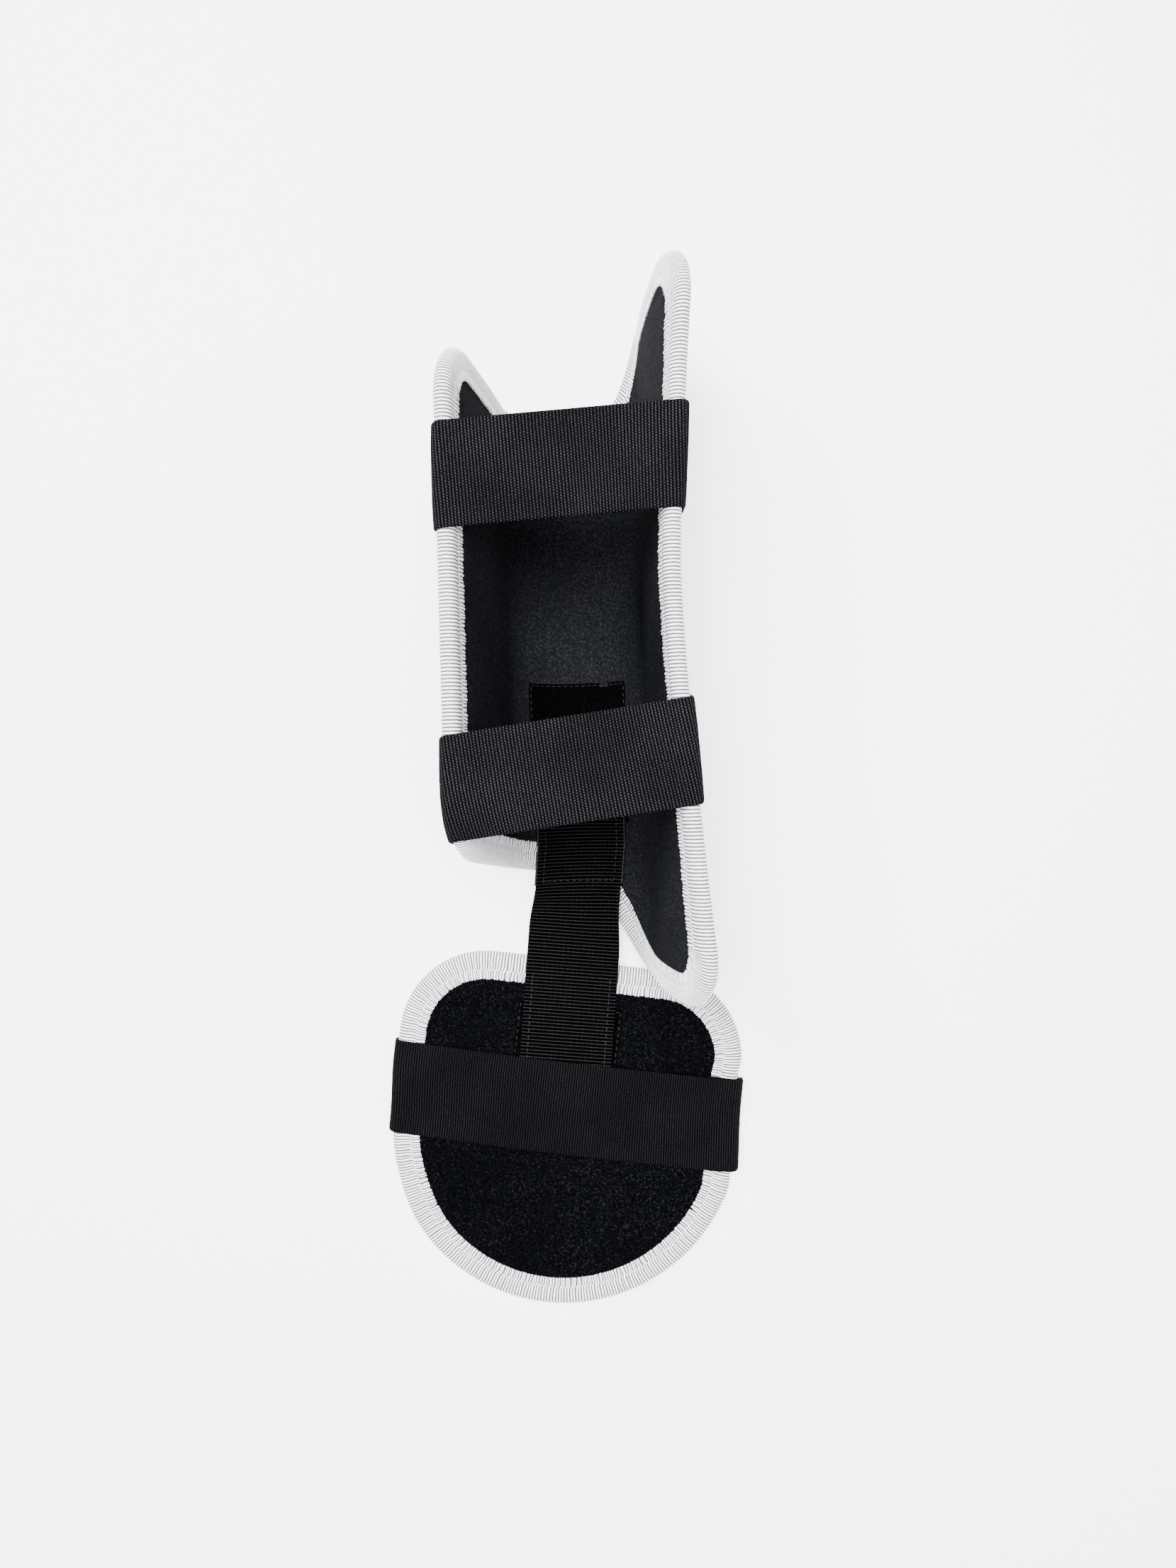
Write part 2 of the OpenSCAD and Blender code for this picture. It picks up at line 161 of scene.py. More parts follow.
class Path:
    """A plane line measured by its own length."""

    def __init__(self, points, closed=False):
        points = np.asarray(points, float)
        if closed:
            points = np.vstack([points, points[:1]])
        step = np.linalg.norm(np.diff(points, axis=0), axis=1)
        keep = np.concatenate([[True], step > 1e-6])
        self.points = points[keep]
        self.at = np.concatenate([[0], np.cumsum(step[step > 1e-6])])
        self.length = self.at[-1]
        self.closed = closed

    def point(self, s):
        if self.closed:
            s = np.mod(s, self.length)
        xy = [np.interp(s, self.at, self.points[:, k]) for k in (0, 1)]
        if not self.closed:
            over, under = np.maximum(s - self.length, 0), np.minimum(s, 0)
            for k in (0, 1):
                last = (self.points[-1, k] - self.points[-2, k]) / (self.at[-1] - self.at[-2])
                first = (self.points[1, k] - self.points[0, k]) / (self.at[1] - self.at[0])
                xy[k] = xy[k] + over * last + under * first
        return xy

    def left(self, s, reach=0.6):
        """Unit vector to the left of the line's run, averaged over a short stretch."""
        x1, y1 = self.point(s + reach)
        x0, y0 = self.point(s - reach)
        dx, dy = x1 - x0, y1 - y0
        size = np.hypot(dx, dy)
        return -dy / size, dx / size


# ---- the trough as a bent sheet ---------------------------------------------


def turn_u(side):
    return FLOOR_R * (math.pi / 2 - LEAN[side])


def turn_z(side):
    return AXIS_Z - FLOOR_R * math.sin(LEAN[side])


def rim_u(side):
    return turn_u(side) + (RIM_H - turn_z(side)) / math.cos(LEAN[side])


RIM_Z = RIM_H - FAT


def rim_x(side):
    """Middle of the rounded rim, before the flare."""
    out = FLOOR_R * math.cos(LEAN[side]) + (RIM_Z - turn_z(side)) * math.tan(LEAN[side])
    return CUFF_X + side * out


def flare(x, y, z):
    """How far the walls stand out. The right one springs out at both ends and is drawn in between."""
    away = np.abs(y - WAIST_Y) / SPRING_REACH
    spring = np.where(y < WAIST_Y, SPRING_BOTTOM, SPRING_TOP) * away**1.5 - DRAWN_IN
    high = np.clip(z / RIM_H, 0, 1.1)
    right = spring * np.where(spring < 0, smooth(z / DRAWN_IN_Z), high**4)
    side = np.clip((x - CUFF_X) / FADE_X, -1, 1)
    return np.where(side > 0, side * right, side * LEFT_STAND * high**2)


def flared(x, y, z):
    """From the straight walls of the CAD to the sprung ones."""
    return np.stack(np.broadcast_arrays(x + flare(x, y, z), y, z), -1)


def trough(u, y, n):
    """A place on the trough's sheet: floor arc, then straight leaning walls."""
    side = np.where(u < 0, -1, 1)
    lean = np.where(u < 0, LEAN[-1], LEAN[1])
    turn = np.where(u < 0, turn_u(-1), turn_u(1))
    girth = np.abs(u)
    angle = np.minimum(girth, turn) / FLOOR_R
    wall = np.maximum(girth - turn, 0)
    x = (FLOOR_R + n) * np.sin(angle) + wall * np.sin(lean)
    z = AXIS_Z - (FLOOR_R + n) * np.cos(angle) + wall * np.cos(lean)
    return flared(CUFF_X + side * x, y, z)


def step_at(s, steep, middle):
    """A soft step from 0 to 1 in the girth's share s."""
    return (1 + np.tanh(steep * (s - middle))) / 2


def edge_y(side, u, top):
    """Height of the top or bottom edge along one side's girth."""
    s = u / rim_u(side)
    if not top:
        rise = (BOTTOM_RIM_Y[-1] - BOTTOM_FLOOR_Y) * np.maximum(-side * s, 0)
        drop = (BOTTOM_FLOOR_Y - BOTTOM_RIM_Y[1]) * step_at(side * s, BOTTOM_STEEP, BOTTOM_DROP)
        return BOTTOM_FLOOR_Y + rise - drop
    rise = TOP_RIM_Y[side] - TOP_FLOOR_Y
    if side < 0:
        return TOP_FLOOR_Y + rise * s**2 * (1 + LEFT_TOP_BEND) / (s**2 + LEFT_TOP_BEND)
    return TOP_FLOOR_Y + (rise - TOP_SLOPE) * step_at(s, TOP_STEEP, TOP_CLIMB) + TOP_SLOPE * s


def edge_with_corner(side, top):
    """One edge from the floor's middle to the rim, with its true round corner."""
    r = (TOP_CORNER_R if top else BOTTOM_CORNER_R)[side]
    sign = 1 if top else -1
    centre_u = rim_u(side) - r
    slope = edge_y(side, centre_u + 0.5, top) - edge_y(side, centre_u - 0.5, top)
    centre_y = edge_y(side, centre_u, top) - sign * r * math.hypot(1, slope)
    start = sign * 90 + math.degrees(math.atan(slope))
    corner = arc(centre_u, centre_y, r, start, 0, 24)
    u = np.linspace(0, corner[0, 0], 400)[:-1]
    return np.vstack([np.stack([u, edge_y(side, u, top)], 1), corner]) * [side, 1]


def trough_outline():
    right_top, right_low = edge_with_corner(1, True), edge_with_corner(1, False)
    left_top, left_low = edge_with_corner(-1, True), edge_with_corner(-1, False)
    return Path(np.vstack([left_low[1:], left_top[::-1], right_top[1:], right_low[::-1]])[::-1], closed=True)


# ---- the foot pad as a flat sheet -------------------------------------------


def pad_eased(u, y):
    """Across the pad: a soft edge gives way on the right, low on the left, and under the strap's turn."""
    right = PAD_EASE[1] * smooth(u / 60) * smooth((y + 22) / 45)
    left = PAD_EASE[-1] * smooth(-u / 60) * smooth((y + 55) / 30) * smooth((25 - y) / 30)
    beside_strap = smooth((np.abs(y - FOOT_STRAP_Y) - TAPE_W / 2 - 1) / 9)
    pinch = PAD_PINCH * smooth((u - 45) / 25) * (1 - beside_strap)
    return u - right + left - pinch


def pad_turned(x, y, z):
    """From the pad's own frame to the object's."""
    across = x * math.cos(PAD_TURN) + y * math.sin(PAD_TURN)
    along = -x * math.sin(PAD_TURN) + y * math.cos(PAD_TURN)
    return np.stack(np.broadcast_arrays(across, along, z), -1)


def pad_warp(x, y, z):
    """The same, with the pad's soft edges giving way."""
    return pad_turned(pad_eased(x, y), y, z)


def pad(u, y, n):
    """A place on the pad's sheet. Away from the strap under it, the pad sinks to the table."""
    sink = PAD_SINK * smooth((np.abs(y - FOOT_STRAP_Y) - TAPE_W / 2) / 24)
    return pad_warp(u, y, PAD_MID - n - sink)


def pad_outline():
    side_x = PAD_R - PAD_CORNER_R
    return Path(np.vstack([
        arc(0, 0, PAD_R, 180, 360, 90),
        arc(side_x, PAD_SIDE, PAD_CORNER_R, 0, 90, 30),
        arc(-side_x, PAD_SIDE, PAD_CORNER_R, 90, 180, 30)]), closed=True)


# ---- meshes -----------------------------------------------------------------


def sweep(name, rings, uv, closed=False):
    """A closed solid through rings[row, point], each a loop whose second half mirrors its first."""
    rows, size = rings.shape[:2]
    last = rows if closed else rows - 1
    i, j = np.meshgrid(np.arange(last), np.arange(size), indexing="ij")
    i2, j2 = (i + 1) % rows, (j + 1) % size
    quads = np.stack([i * size + j, i2 * size + j, i2 * size + j2, i * size + j2], -1).reshape(-1, 4)
    corners = np.stack([uv[i, j], uv[i + 1, j], uv[i + 1, j + 1], uv[i, j + 1]], 2).reshape(-1, 4, 2)
    if not closed:
        k = np.arange(size // 2 - 1)
        for row in (0, rows - 1):
            base = row * size
            cap = np.stack([base + k, base + k + 1, base + size - 2 - k, base + size - 1 - k], -1)
            quads = np.vstack([quads, cap])
            corners = np.concatenate([corners, np.broadcast_to(uv[row, 0], (len(k), 4, 2))])
    return mesh_object(name, rings.reshape(-1, 3), quads, corners)


def turn_outward(mesh, fill=False):
    """Points a mesh's normals outward, after closing its open ends if asked."""
    shape = bmesh.new()
    shape.from_mesh(mesh)
    if fill:
        bmesh.ops.holes_fill(shape, edges=[e for e in shape.edges if e.is_boundary])
    bmesh.ops.recalc_face_normals(shape, faces=shape.faces)
    shape.to_mesh(mesh)
    shape.free()


def mesh_object(name, points, quads, corners):
    """A smooth-shaded mesh with the weave's own coordinates, its normals outward."""
    mesh = bpy.data.meshes.new(name)
    mesh.vertices.add(len(points))
    mesh.vertices.foreach_set("co", (points * MM).astype(np.float32).ravel())
    mesh.loops.add(len(quads) * 4)
    mesh.loops.foreach_set("vertex_index", quads.astype(np.int32).ravel())
    mesh.polygons.add(len(quads))
    mesh.polygons.foreach_set("loop_start", np.arange(0, len(quads) * 4, 4, dtype=np.int32))
    mesh.polygons.foreach_set("use_smooth", np.ones(len(quads), dtype=bool))
    mesh.update(calc_edges=True)
    layer = mesh.uv_layers.new(name="weave")
    layer.data.foreach_set("uv", corners.astype(np.float32).ravel())
    turn_outward(mesh)
    piece = bpy.data.objects.new(name, mesh)
    bpy.context.scene.collection.objects.link(piece)
    return piece


def dress(piece, material, body, slot, *nodes):
    """Material, body and the CAD nodes that a piece stands for. The slot is not used."""
    piece.data.materials.append(material)
    if body:
        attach(piece, body)
    if nodes:
        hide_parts(*nodes)
    return piece


def columns(outline, inset, spacing):
    """Places u across a sheet and the inset outline's lower and upper y at each."""
    s = np.linspace(0, outline.length, int(outline.length / 0.5), endpoint=False)
    x, y = outline.point(s)
    nx, ny = outline.left(s)
    x, y = x + nx * inset, y + ny * inset
    first, last = x.min(), x.max()
    bent = (x > first + 0.01) & (x < last - 0.01)
    middle = (y[~bent].min() + y[~bent].max()) / 2
    t = np.linspace(-1, 1, int((last - first) / spacing))
    t = np.sign(t) * (1 - (1 - np.abs(t)) ** 1.5)
    u = (last + first) / 2 + (last - first) / 2 * t
    edges = []
    for part in (bent & (y < middle), bent & (y > middle)):
        order = np.argsort(x[part])
        edges.append(np.interp(u, x[part][order], y[part][order]))
    return u, *edges


SWELL_UNDER = 1.5       # a panel starts to swell this far under its tape
SWELL_SPAN = 9          # and is at its full height this much further in


def layer(name, place, outline, n0, n1, inset, swell=(0, 0), spacing=2.0):
    """One layer of a panel between two distances from its middle. Past the tape it swells."""
    u, low, high = columns(outline, inset, spacing)
    rows = int((high.max() - low.min()) / spacing)
    v = np.linspace(0, 1, rows)
    y = low[:, None] + (high - low)[:, None] * v
    u = np.broadcast_to(u[:, None], y.shape)
    edge = np.minimum.reduce([y - low[:, None], high[:, None] - y, u - u.min(), u.max() - u]) + inset
    rise = smooth((edge - BINDING_W + SWELL_UNDER) / SWELL_SPAN)
    uneven = 1 + 0.35 * waves(u / 61 + y / 83, 3) * waves(y / 47 - u / 90, 4)
    inner = place(u, y, n0 - swell[0] * rise * uneven)
    outer = place(u, y, n1 + swell[1] * rise * uneven)
    rings = np.concatenate([inner, outer[:, ::-1]], 1)
    across = np.concatenate([u, u[:, ::-1]], 1)
    along = np.concatenate([y, y[:, ::-1]], 1)
    uv = np.stack([across, along], -1)
    uv = np.concatenate([uv, uv[:, :1]], 1)
    return sweep(name, rings, uv)


RIB = 1.33              # rib pitch of the binding tape
STITCH_AT = 8.0         # seam's distance from the outer edge
RIB_STEPS = 4           # mesh rows to a rib
RIB_RISE = 0.28
GROOVE = 0.32           # depth the seam pulls the tape in
PUCKER = 0.12           # the free lip's small waves, and their pitch
PUCKER_PITCH = 3.0
STITCH_LENGTH = 2.1
STITCH_PITCH = 2.9


def tape_profile():
    """Binding section as rows of inset, distance outward, and the face's own direction."""
    flat = [BINDING_W, 11.3, 9.9, 8.7, STITCH_AT, 7.3, 6.0, 4.6]
    inner = [(d, -FAT, 0, -1) for d in flat]
    turn = [(FAT - FAT * math.cos(b), FAT * math.sin(b), -math.cos(b), math.sin(b))
            for b in np.radians(np.linspace(-90, 90, 9))]
    outer = [(d, FAT, 0, 1) for d in reversed(flat)]
    hidden = [(BINDING_W, HALF, 0, 0), (3.0, HALF, 0, 0), (EDGE_GAP, 1.8, 0, 0),
              (EDGE_GAP, -1.8, 0, 0), (3.0, -HALF, 0, 0), (BINDING_W, -HALF, 0, 0)]
    return np.array(inner + turn + outer), np.array(hidden)


def binding(name, place, outline, seed):
    """Ribbed tape folded round a panel's edge, its ribs across it and a sewn groove along it."""
    ribs = int(round(outline.length / RIB))
    rows = ribs * RIB_STEPS
    face, hidden = tape_profile()
    profile = np.vstack([face, hidden])
    turns = np.arange(rows)[:, None] / rows
    s = turns * outline.length
    d, n, out_d, out_n = (profile[:, k][None, :] for k in range(4))
    lip = np.clip((d - STITCH_AT) / (BINDING_W - STITCH_AT), 0, 1) * (n != 0)
    lean = RIB * (0.55 * smooth((d - STITCH_AT + 1) / 2) + 0.35 * lip * waves(turns * 23, seed))
    s = s + lean + RIB * 0.25 * waves(turns * 41, seed + 1) * np.clip(d / BINDING_W, 0, 1)
    crest = 0.5 + 0.5 * np.cos(2 * math.pi * np.arange(rows)[:, None] / RIB_STEPS)
    rise = RIB_RISE * (crest - 0.5) * np.where(np.abs(d - STITCH_AT) < 0.5, 0.5, 1)
    groove = GROOVE * np.exp(-(((d - STITCH_AT) / 0.9) ** 2))
    pucker = PUCKER * lip * (1 + np.cos(2 * math.pi * s / PUCKER_PITCH))
    pucker = pucker + 0.18 * lip * waves(turns * 31, seed + 2)
    lift = rise - groove + pucker
    d = d + 0.35 * lip * waves(turns * 53, seed + 3) * (out_n != 0) + out_d * lift
    n = n + out_n * lift
    x, y = outline.point(s)
    nx, ny = outline.left(s)
    rings = place(x + nx * d, y + ny * d, n * np.ones_like(x))
    across = np.concatenate([[0], np.cumsum(np.hypot(*np.diff(profile[:, :2], axis=0).T))])
    across = np.append(across, across[-1] + TAPE)
    u = np.arange(rows + 1)[:, None] / RIB_STEPS
    uv = np.stack(np.broadcast_arrays(u, across[None, :]), -1)
    return sweep(name, rings, uv, closed=True)


def capsules(name, middles, tangents, normals, radius):
    """Stitches: small bent capsules, one at each place."""
    sides = 7
    rings = 7
    t = np.linspace(-1, 1, rings)
    girth = np.sqrt(np.clip(1 - np.abs(t) ** 3, 0.02, 1)) * radius
    sag = -(t**2) * radius * 0.8
    a = np.linspace(0, 2 * math.pi, sides, endpoint=False)
    across = np.cross(tangents, normals)
    reach = t * STITCH_LENGTH / 2
    points = (middles[:, None, None] + tangents[:, None, None] * reach[None, :, None, None]
              + normals[:, None, None] * (sag[:, None] + girth[:, None] * np.cos(a))[None, ..., None]
              + across[:, None, None] * (girth[:, None] * np.sin(a))[None, ..., None])
    count = len(middles)
    k, i, j = np.meshgrid(np.arange(count), np.arange(rings - 1), np.arange(sides), indexing="ij")
    base, j2 = k * rings * sides, (j + 1) % sides
    quads = np.stack([base + i * sides + j, base + (i + 1) * sides + j,
                      base + (i + 1) * sides + j2, base + i * sides + j2], -1).reshape(-1, 4)
    corners = np.zeros((len(quads), 4, 2))
    piece = mesh_object(name, points.reshape(-1, 3), quads, corners)
    turn_outward(piece.data, fill=True)
    return piece


def stitches(name, lines, radius=0.21):
    """Stitches along lines, each a function of distance that returns place and outward place."""
    middles, tangents, normals = [], [], []
    for reach, line in lines:
        s = np.arange(STITCH_PITCH / 2, reach, STITCH_PITCH)
        here, above = line(s)
        ahead = line(s + 0.4)[0] - line(s - 0.4)[0]
        tangent = ahead / np.linalg.norm(ahead, axis=1, keepdims=True)
        normal = above - here
        normal -= tangent * (normal * tangent).sum(1, keepdims=True)
        middles.append(here)
        tangents.append(tangent)
        normals.append(normal / np.linalg.norm(normal, axis=1, keepdims=True))
    return capsules(name, np.vstack(middles), np.vstack(tangents), np.vstack(normals), radius)


def outline_seam(place, outline, inset, n):
    """A seam that follows a panel's edge on one face."""
    def line(s):
        x, y = outline.point(s)
        nx, ny = outline.left(s)
        x, y = x + nx * inset, y + ny * inset
        level = np.ones_like(x)
        return place(x, y, n * level), place(x, y, (n + math.copysign(1, n)) * level)
    return outline.length, line


def straight_seam(surface, start, end, h):
    """A seam between two places (along, across) of a tape."""
    start, end = np.array(start, float), np.array(end, float)
    reach = float(np.linalg.norm(end - start))

    def line(s):
        a, w = (start[k] + (end[k] - start[k]) * s / reach for k in (0, 1))
        level = np.ones_like(a)
        return surface(a, w, h * level), surface(a, w, (h + math.copysign(1, h)) * level)
    return reach, line


def border_seams(surface, a0, a1, w0, w1, h):
    """Seams along the four sides of a rectangle."""
    corners = [(a0, w0), (a1, w0), (a1, w1), (a0, w1)]
    return [straight_seam(surface, corners[k], corners[(k + 1) % 4], h) for k in range(4)]


def box_seams(surface, a0, a1, h):
    """A sewn box with its two diagonals."""
    diagonals = [((a0, -SEWN_HALF), (a1, SEWN_HALF)), ((a1, -SEWN_HALF), (a0, SEWN_HALF))]
    crossed = [straight_seam(surface, start, end, h) for start, end in diagonals]
    return border_seams(surface, a0, a1, -SEWN_HALF, SEWN_HALF, h) + crossed


def tape(name, surface, start, end, width, thick, pitch, rib, cup=0.0):
    """A woven tape on a surface(along, across, height), with ribs across it and round selvedges."""
    steps = max(2, int(round((end - start) / pitch * RIB_STEPS)))
    a = np.linspace(start, end, steps + 1)[:, None]
    w = np.linspace(-1, 1, int(width / 1.3))
    w = np.sign(w) * (1 - (1 - np.abs(w)) ** 1.25) * width / 2
    selvedge = np.clip((width / 2 - np.abs(w)) / 0.5, 0, 1) ** 0.5
    body = thick / 2 * (0.45 + 0.55 * selvedge)
    crest = 0.5 + 0.5 * np.cos(2 * math.pi * (a - start) / pitch)
    rise = rib * (crest - 1) * (0.35 + 0.65 * np.clip((width / 2 - np.abs(w)) / 2.2, 0, 1))
    curl = -cup * (np.abs(w) / (width / 2)) ** 3
    upper = surface(a, w[None, :], body + rise + curl)
    lower = surface(a, w[None, ::-1], -(body + rise)[:, ::-1] + curl[::-1])
    rings = np.concatenate([upper, lower], 1)
    v = np.concatenate([w, w[::-1], w[:1]])
    uv = np.stack(np.broadcast_arrays((a - start) / pitch, v[None, :]), -1)
    return sweep(name, rings, uv)


def corner_drop(y):
    """How far the left wall's round lower corner lies below the straight rim."""
    r = BOTTOM_CORNER_R[-1]
    below = np.clip(BOTTOM_RIM_Y[-1] - 3 + r - y, 0, 0.9 * r)
    return r - np.sqrt(r**2 - below**2)


def section_surface(path, warp, centre, tilt=0.0, middle=0.0, tuck=0.0):
    """Surface of a tape laid along an X-Z section from its start, at a tilt to it.

    A tuck lets it droop over the left wall's round lower corner, near the rim only.
    """
    def surface(a, w, h):
        s = middle + (a - middle) * math.cos(tilt) - w * math.sin(tilt)
        y = centre + (a - middle) * math.sin(tilt) + w * math.cos(tilt)
        x, z = path.point(s)
        nx, nz = path.left(s, 0.4)
        x, z = x + nx * h, z + nz * h
        if tuck:
            near_rim = (1 - smooth((x - rim_x(-1)) / 50)) * smooth((z - 60) / 32)
            drop = tuck * corner_drop(y) * near_rim
            x, z = x + drop * math.sin(LEAN[-1]), z - drop * math.cos(LEAN[-1])
        return warp(*np.broadcast_arrays(x, y, z))
    return surface


# ---- materials --------------------------------------------------------------


class Nodes:
    """Short names for a material's node tree."""

    def __init__(self, name, roughness, specular, sheen=0.0):
        self.material = bpy.data.materials.new(name)
        self.material.use_nodes = True
        self.tree = self.material.node_tree
        self.shader = self.tree.nodes["Principled BSDF"]
        self.shader.inputs["Roughness"].default_value = roughness
        self.shader.inputs["Specular IOR Level"].default_value = specular
        self.shader.inputs["Sheen Weight"].default_value = sheen

    def link(self, value, socket):
        if isinstance(value, bpy.types.NodeSocket):
            self.tree.links.new(value, socket)
        else:
            socket.default_value = value

    def math(self, kind, a, b=0.0, c=0.0):
        node = self.tree.nodes.new("ShaderNodeMath")
        node.operation = kind
        for value, socket in zip((a, b, c), node.inputs):
            self.link(value, socket)
        return node.outputs[0]

    def wave(self, turns):
        """0 to 1 and back, once a turn, highest at whole turns."""
        cosine = self.math("COSINE", self.math("MULTIPLY", turns, 2 * math.pi))
        return self.math("MULTIPLY_ADD", cosine, 0.5, 0.5)

    def weave(self):
        """The mesh's own coordinates: rib count, and millimetres across."""
        node = self.tree.nodes.new("ShaderNodeUVMap")
        node.uv_map = "weave"
        split = self.tree.nodes.new("ShaderNodeSeparateXYZ")
        self.link(node.outputs[0], split.inputs[0])
        return split.outputs[0], split.outputs[1], node.outputs[0]

    def place(self):
        return self.tree.nodes.new("ShaderNodeTexCoord").outputs["Object"]

    def noise(self, vector, scale, detail=2.0, rough=0.5):
        node = self.tree.nodes.new("ShaderNodeTexNoise")
        self.link(vector, node.inputs["Vector"])
        node.inputs["Scale"].default_value = scale
        node.inputs["Detail"].default_value = detail
        node.inputs["Roughness"].default_value = rough
        return node.outputs[0]

    def cells(self, vector, scale):
        node = self.tree.nodes.new("ShaderNodeTexVoronoi")
        self.link(vector, node.inputs["Vector"])
        node.inputs["Scale"].default_value = scale
        return node.outputs["Distance"]

    def ramp(self, value, stops):
        node = self.tree.nodes.new("ShaderNodeValToRGB")
        self.link(value, node.inputs[0])
        ramp = node.color_ramp
        while len(ramp.elements) < len(stops):
            ramp.elements.new(0.5)
        for element, (at, colour) in zip(ramp.elements, stops):
            element.position = at
            element.color = (*colour, 1)
        return node.outputs[0]

    def range(self, value, a0, a1, b0, b1):
        node = self.tree.nodes.new("ShaderNodeMapRange")
        for k, v in zip((0, 1, 2, 3, 4), (value, a0, a1, b0, b1)):
            self.link(v, node.inputs[k])
        return node.outputs[0]

    def bump(self, height, strength, distance, normal=None):
        node = self.tree.nodes.new("ShaderNodeBump")
        node.inputs["Strength"].default_value = strength
        node.inputs["Distance"].default_value = distance * MM
        self.link(height, node.inputs["Height"])
        if normal is not None:
            self.link(normal, node.inputs["Normal"])
        return node.outputs[0]

    def colour(self, value):
        self.link(value, self.shader.inputs["Base Color"])

    def normal(self, value):
        self.link(value, self.shader.inputs["Normal"])


def binding_cloth():
    """White grosgrain: bright ribs, with painted shade darkening the grooves between them, fine yarns across.
    """
    m = Nodes("white_grosgrain", 0.6, 0.3, sheen=0.1)
    ribs, across, weave = m.weave()
    stir = m.math("MULTIPLY_ADD", m.noise(weave, 0.9), 0.3, -0.15)
    crest = m.wave(m.math("ADD", ribs, stir))
    shift = m.math("MULTIPLY", m.math("ROUND", ribs), 0.5)
    yarn = m.wave(m.math("ADD", m.math("MULTIPLY", across, 1.9), shift))
    soil = m.noise(m.place(), 55, 4)
    tone = m.math("MULTIPLY_ADD", yarn, 0.14, m.math("MULTIPLY", crest, 0.9))
    tone = m.math("MULTIPLY", tone, m.range(soil, 0.3, 0.75, 0.9, 1.04))
    # The ramp's dark low end is painted shade in the grooves between the ribs; the soil noise is the tape's
    # own uneven tone.
    m.colour(m.ramp(tone, [(0.0, (0.04, 0.042, 0.046)), (0.36, (0.165, 0.17, 0.18)),
                           (0.56, (0.62, 0.63, 0.65)), (0.72, (0.90, 0.91, 0.925))]))
    height = m.math("MULTIPLY_ADD", yarn, 0.4, m.math("MULTIPLY_ADD", crest, 0.8, m.noise(m.place(), 3800)))
    m.normal(m.bump(height, 0.55, 0.12))
    return m.material


def elastic_cloth(name, bead, dark, light, gap):
    """Black woven elastic: each rib a chain of small beads, their tops lighter as painted highlight and the
    gaps between ribs near black as painted shade.
    """
    m = Nodes(name, 0.8, 0.015)
    ribs, across, weave = m.weave()
    stir = m.math("MULTIPLY_ADD", m.noise(weave, 0.7, 3), 0.4, -0.2)
    crest = m.wave(m.math("ADD", ribs, stir))
    shift = m.math("MULTIPLY", m.math("ROUND", ribs), 0.5)
    chain = m.wave(m.math("ADD", m.math("DIVIDE", m.math("ADD", across, stir), bead), shift))
    fuzz = m.noise(m.place(), 2600, 3, 0.7)
    knot = m.math("MULTIPLY", crest, m.math("MULTIPLY_ADD", chain, 0.62, 0.38))
    tone = m.math("MULTIPLY", knot, m.range(fuzz, 0.25, 0.8, 0.3, 1.6))
    patchy = m.range(m.noise(m.place(), 45, 3), 0.3, 0.7, 0.85, 1.15)
    # The ramp runs from painted shade in the gaps between ribs to painted highlight on the bead tops; fuzz
    # and patchy are the yarn's own uneven tone.
    m.colour(m.ramp(m.math("MULTIPLY", tone, patchy), [(0.0, gap), (0.35, dark), (1.0, light)]))
    m.normal(m.bump(m.math("MULTIPLY_ADD", fuzz, 0.35, knot), 0.8, 0.22))
    return m.material


def webbing_cloth():
    """Black webbing: thin ribs across it, with patchy columns of slightly lighter floats; the thin light
    lines on the rib crests are painted highlight, and the near-black between them painted shade.
    """
    m = Nodes("black_webbing", 0.8, 0.004)
    ribs, across, weave = m.weave()
    stir = m.math("MULTIPLY_ADD", m.noise(weave, 0.5, 3), 0.16, -0.08)
    crest = m.math("POWER", m.wave(m.math("ADD", ribs, stir)), 4.5)
    column = m.math("POWER", m.wave(m.math("DIVIDE", across, 2.15)), 6)
    patchy = m.range(m.noise(m.place(), 160, 2), 0.4, 0.65, 0.0, 0.45)
    thread = m.wave(m.math("MULTIPLY", across, 1.6))
    fuzz = m.noise(m.place(), 2200, 3, 0.7)
    lift = m.math("MULTIPLY_ADD", thread, 0.25, 0.5)
    tone = m.math("MULTIPLY", crest, m.math("MULTIPLY_ADD", column, patchy, lift))
    tone = m.math("MULTIPLY", tone, m.range(fuzz, 0.25, 0.75, 0.4, 1.5))
    # The bright end is painted highlight on the rib crests, the dark end painted shade between the ribs.
    m.colour(m.ramp(tone, [(0.0, (0.0003, 0.0003, 0.0003)), (0.15, (0.0010, 0.0010, 0.0011)),
                           (1.0, (0.026, 0.026, 0.028))]))
    m.normal(m.bump(m.math("MULTIPLY_ADD", thread, 0.25, crest), 0.7, 0.25))
    return m.material


def knit_cloth(name, low, high, speck, scale):
    """Brushed knit over foam: a close nap with lighter flecks."""
    m = Nodes(name, 0.9, 0.008)
    place = m.place()
    nap = m.noise(place, scale, 3, 0.65)
    loops = m.cells(place, scale * 0.75)
    cloudy = m.noise(place, 30, 3)
    tone = m.math("MULTIPLY", m.range(nap, 0.4, 0.64, 0, 1), m.range(loops, 0.0, 0.8, 1.25, 0.35))
    tone = m.math("MULTIPLY", tone, m.range(cloudy, 0.3, 0.7, 0.75, 1.2))
    m.colour(m.ramp(tone, [(0.0, low), (0.5, high), (0.95, speck)]))
    height = m.math("MULTIPLY_ADD", loops, -0.5, nap)
    m.normal(m.bump(height, 0.55, 0.3, m.bump(cloudy, 0.25, 2.0)))
    return m.material


